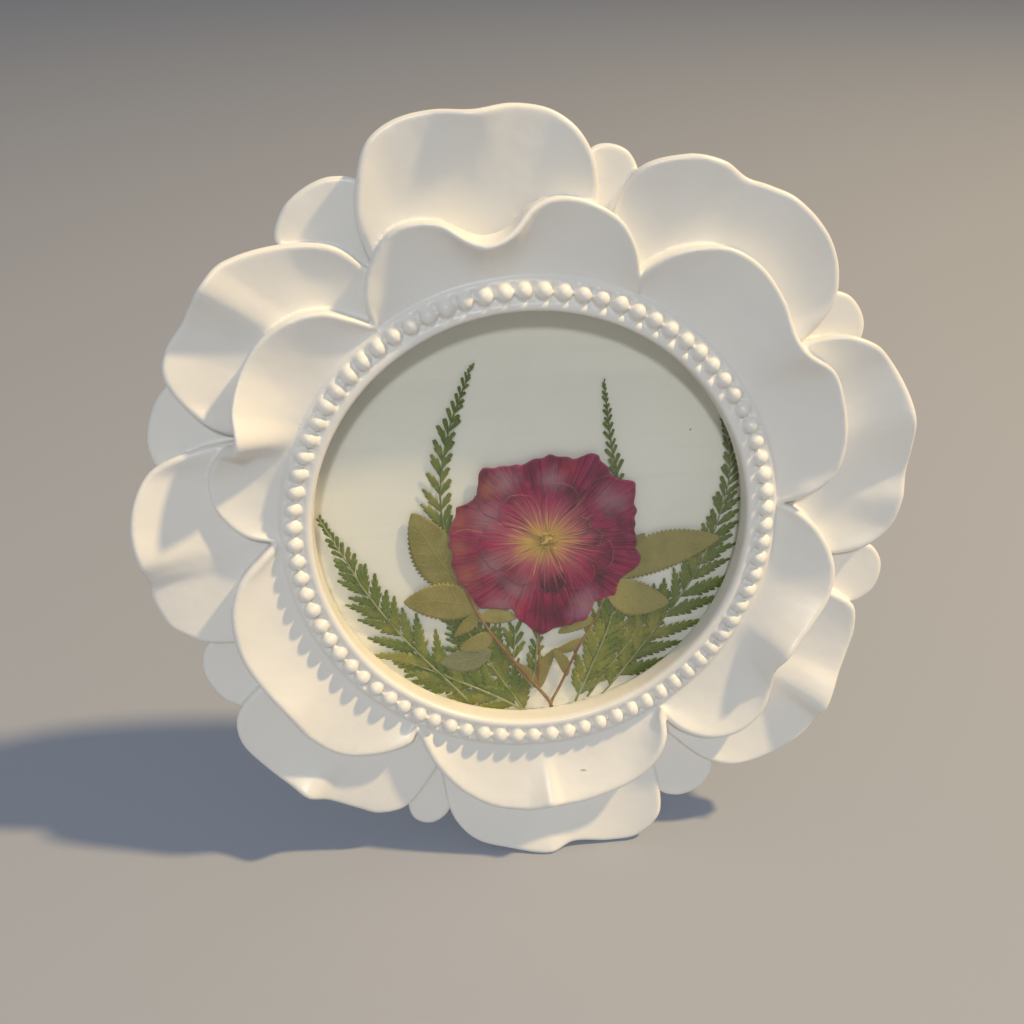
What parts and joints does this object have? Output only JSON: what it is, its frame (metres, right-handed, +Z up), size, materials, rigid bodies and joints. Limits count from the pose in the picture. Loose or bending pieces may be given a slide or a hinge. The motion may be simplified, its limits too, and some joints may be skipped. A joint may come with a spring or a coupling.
{
  "type": "pressed flower frame",
  "caption": "White cast easel frame shaped like an open flower, with a beaded round window that shows a pressed crimson rose, its leaves and fern fronds on a pale card.",
  "frame": {"origin": "middle of the bounding box's base, on the surface that the frame stands on", "axes": "+Z up, -Y out of the window towards the viewer, +X to the viewer's right; the frame leans back 12 degrees about X and its strut stands open behind it"},
  "size_m": [0.173, 0.0686, 0.1732],
  "materials": {
    "white_paint": "satin",
    "clear_glass": "gloss",
    "pale_card": "matte",
    "black_velvet": "matte",
    "bright_steel": "satin",
    "rose_petal": "matte",
    "rose_stamens": "matte",
    "rose_leaf": "matte",
    "fern": "matte"
  },
  "bodies": {
    "root": {"flower_frame": "white_paint", "glass_disc": "clear_glass", "backing_card": "pale_card", "back_board": "black_velvet", "button_screw_1": "bright_steel", "button_screw_2": "bright_steel", "button_screw_3": "bright_steel", "button_screw_4": "bright_steel", "hinge_leaf_board": "bright_steel", "hinge_pin": "bright_steel", "hinge_board_screw_1": "bright_steel", "hinge_board_screw_2": "bright_steel", "fern_left_arching": "fern", "fern_right_arching": "fern", "fern_left_upright": "fern", "fern_right_upright": "fern", "fern_low_left": "fern", "fern_low_right": "fern", "fern_small_tip": "fern", "rose_stem": "rose_leaf", "rose_leaf_left": "rose_leaf", "rose_leaf_right": "rose_leaf", "rose_centre": "rose_stamens", "rose_outer_petal_01": "rose_petal", "rose_outer_petal_02": "rose_petal", "rose_outer_petal_03": "rose_petal", "rose_outer_petal_04": "rose_petal", "rose_outer_petal_05": "rose_petal", "rose_outer_petal_06": "rose_petal", "rose_outer_petal_07": "rose_petal", "rose_outer_petal_08": "rose_petal", "rose_outer_petal_09": "rose_petal", "rose_outer_petal_10": "rose_petal", "rose_outer_petal_11": "rose_petal", "rose_outer_petal_12": "rose_petal", "rose_outer_petal_13": "rose_petal", "rose_inner_petal_01": "rose_petal", "rose_inner_petal_02": "rose_petal", "rose_inner_petal_03": "rose_petal", "rose_inner_petal_04": "rose_petal", "rose_inner_petal_05": "rose_petal", "rose_inner_petal_06": "rose_petal", "rose_inner_petal_07": "rose_petal", "rose_inner_petal_08": "rose_petal", "rose_inner_petal_09": "rose_petal"},
    "strut": {"easel_strut": "black_velvet", "hinge_leaf_strut": "bright_steel", "hinge_strut_screw_1": "bright_steel", "hinge_strut_screw_2": "bright_steel"},
    "button_1": {"turn_button_1": "bright_steel"},
    "button_2": {"turn_button_2": "bright_steel"},
    "button_3": {"turn_button_3": "bright_steel"},
    "button_4": {"turn_button_4": "bright_steel"}
  },
  "joints": [
    {"name": "strut_hinge", "type": "hinge", "parent": "root", "child": "strut", "pos_m": [0.00046, 0.00792, 0.10914], "axis": [1, 0, 0], "range_deg": [-24.9, 0]},
    {"name": "button_1_swivel", "type": "hinge", "parent": "root", "child": "button_1", "pos_m": [0.04077, 0.00857, 0.12158], "axis": [0, 0.9781, -0.2079], "range_deg": [0, 90]},
    {"name": "button_2_swivel", "type": "hinge", "parent": "root", "child": "button_2", "pos_m": [-0.03985, 0.00857, 0.12158], "axis": [0, 0.9781, -0.2079], "range_deg": [0, 90]},
    {"name": "button_3_swivel", "type": "hinge", "parent": "root", "child": "button_3", "pos_m": [-0.03985, -0.00819, 0.04273], "axis": [0, 0.9781, -0.2079], "range_deg": [0, 90]},
    {"name": "button_4_swivel", "type": "hinge", "parent": "root", "child": "button_4", "pos_m": [0.04077, -0.00819, 0.04273], "axis": [0, 0.9781, -0.2079], "range_deg": [0, 90]}
  ]
}
